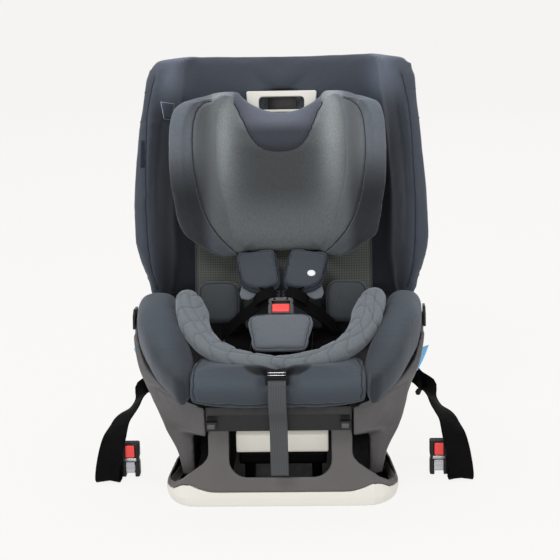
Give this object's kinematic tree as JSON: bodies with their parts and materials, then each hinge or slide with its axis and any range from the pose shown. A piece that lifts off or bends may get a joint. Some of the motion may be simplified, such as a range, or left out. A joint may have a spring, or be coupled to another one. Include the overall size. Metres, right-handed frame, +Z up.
{
  "type": "convertible car seat",
  "caption": "Convertible child car seat with a reclining padded shell, sliding winged headrest, harness with push-button buckle, infant insert, lower anchor straps and moulded base.",
  "frame": {"origin": "middle of the base footprint at the level the base stands on", "axes": "+Z up, -Y towards the front where the child's legs go, +X to the right as seen from the front"},
  "size_m": [0.6226, 0.5299, 0.664],
  "materials": {
    "dark_plastic": "fine grain, satin",
    "black_plastic": "fine grain, satin",
    "pale_plastic": "smooth, low gloss",
    "navy_fabric": "fine woven",
    "grey_fabric": "fine woven, mottled",
    "light_fabric": "brushed knit, mottled",
    "mesh_fabric": "open mesh",
    "webbing": "ribbed webbing",
    "grey_webbing": "ribbed webbing",
    "red_plastic": "smooth",
    "steel": "brushed"
  },
  "bodies": {
    "base": {"base_skirt": "pale_plastic", "base_housing": "dark_plastic", "base_pan": "dark_plastic", "recline_latch_box": "black_plastic", "recline_track_L": "black_plastic", "recline_track_R": "black_plastic", "anchor_strap_L": "webbing", "anchor_strap_R": "webbing", "anchor_connector_L": "black_plastic", "anchor_connector_R": "black_plastic"},
    "recline_handle": {"recline_handle": "pale_plastic", "recline_lock_bar": "steel"},
    "seat": {"seat_shell": "dark_plastic", "recline_runner": "steel", "front_panel": "dark_plastic", "back_cover": "navy_fabric", "back_shell": "dark_plastic", "mesh_back_pad": "mesh_fabric", "seat_cushion": "navy_fabric", "seat_foam": "navy_fabric", "insert_roll": "light_fabric", "insert_seat_pad": "light_fabric", "insert_back_pad": "light_fabric", "crotch_pad": "grey_fabric", "crotch_strap": "webbing", "buckle_housing": "black_plastic", "adjuster_bezel": "steel", "adjuster_strap": "grey_webbing", "side_arm_L": "dark_plastic", "side_arm_R": "dark_plastic", "belt_guide_L": "black_plastic", "belt_guide_R": "black_plastic", "back_wing_L": "navy_fabric", "back_wing_R": "navy_fabric", "guide_rod_L": "steel", "guide_rod_R": "steel", "thigh_bolster_L": "navy_fabric", "thigh_bolster_R": "navy_fabric", "hip_pad_L": "navy_fabric", "hip_pad_R": "navy_fabric", "buckle_tongue_L": "steel", "buckle_tongue_R": "steel", "shoulder_pad_L": "grey_fabric", "shoulder_pad_R": "grey_fabric", "shoulder_strap_L": "webbing", "shoulder_strap_R": "webbing", "lap_strap_L": "webbing", "lap_strap_R": "webbing"},
    "headrest": {"headrest_pad": "grey_fabric", "headrest_shell": "dark_plastic", "headrest_carrier": "black_plastic", "headrest_wing_L": "grey_fabric", "headrest_wing_R": "grey_fabric"},
    "headrest_handle": {"headrest_handle": "pale_plastic"},
    "buckle_button": {"buckle_button": "red_plastic"},
    "adjuster_lever": {"adjuster_lever": "steel"},
    "anchor_button_L": {"anchor_button_L": "red_plastic"},
    "anchor_button_R": {"anchor_button_R": "red_plastic"},
    "anchor_jaw_L": {"anchor_jaw_L": "steel"},
    "anchor_jaw_R": {"anchor_jaw_R": "steel"}
  },
  "joints": [
    {"name": "recline", "type": "hinge", "parent": "base", "child": "seat", "pos_m": [0, 0, 0.33], "axis": [-1, 0, 0], "range_deg": [0, 10]},
    {"name": "recline_handle_pull", "type": "slide", "parent": "base", "child": "recline_handle", "axis": [0, -1, 0], "range_m": [0, 0.012], "stiffness_N_per_m": 300, "springref_m": -0.004},
    {"name": "headrest_height", "type": "slide", "parent": "seat", "child": "headrest", "axis": [0, 0.2672, 0.9636], "range_m": [0, 0.12]},
    {"name": "headrest_handle_squeeze", "type": "slide", "parent": "headrest", "child": "headrest_handle", "axis": [0, 0.2672, 0.9636], "range_m": [0, 0.008], "stiffness_N_per_m": 500, "springref_m": -0.003},
    {"name": "buckle_button_press", "type": "slide", "parent": "seat", "child": "buckle_button", "axis": [0, 0.788, -0.6157], "range_m": [0, 0.0035], "stiffness_N_per_m": 800, "springref_m": -0.002},
    {"name": "adjuster_lever_lift", "type": "hinge", "parent": "seat", "child": "adjuster_lever", "pos_m": [0, -0.245, 0.236], "axis": [-1, 0, 0], "range_deg": [0, 20], "stiffness_Nm_per_rad": 0.08, "springref_deg": -11.46},
    {"name": "anchor_button_press_L", "type": "slide", "parent": "base", "child": "anchor_button_L", "axis": [0, 1, 0], "range_m": [0, 0.003], "stiffness_N_per_m": 500, "springref_m": -0.002},
    {"name": "anchor_jaw_turn_L", "type": "hinge", "parent": "base", "child": "anchor_jaw_L", "pos_m": [-0.256, -0.05, 0.0235], "axis": [1, 0, 0], "range_deg": [0, 20]},
    {"name": "anchor_button_press_R", "type": "slide", "parent": "base", "child": "anchor_button_R", "axis": [0, 1, 0], "range_m": [0, 0.003], "stiffness_N_per_m": 500, "springref_m": -0.002},
    {"name": "anchor_jaw_turn_R", "type": "hinge", "parent": "base", "child": "anchor_jaw_R", "pos_m": [0.256, -0.05, 0.0235], "axis": [1, 0, 0], "range_deg": [0, 20]}
  ],
  "couplings": [
    {"joint": "anchor_jaw_turn_L", "follows": "anchor_button_press_L", "rad_per_m": 116},
    {"joint": "anchor_jaw_turn_R", "follows": "anchor_button_press_R", "rad_per_m": 116}
  ]
}
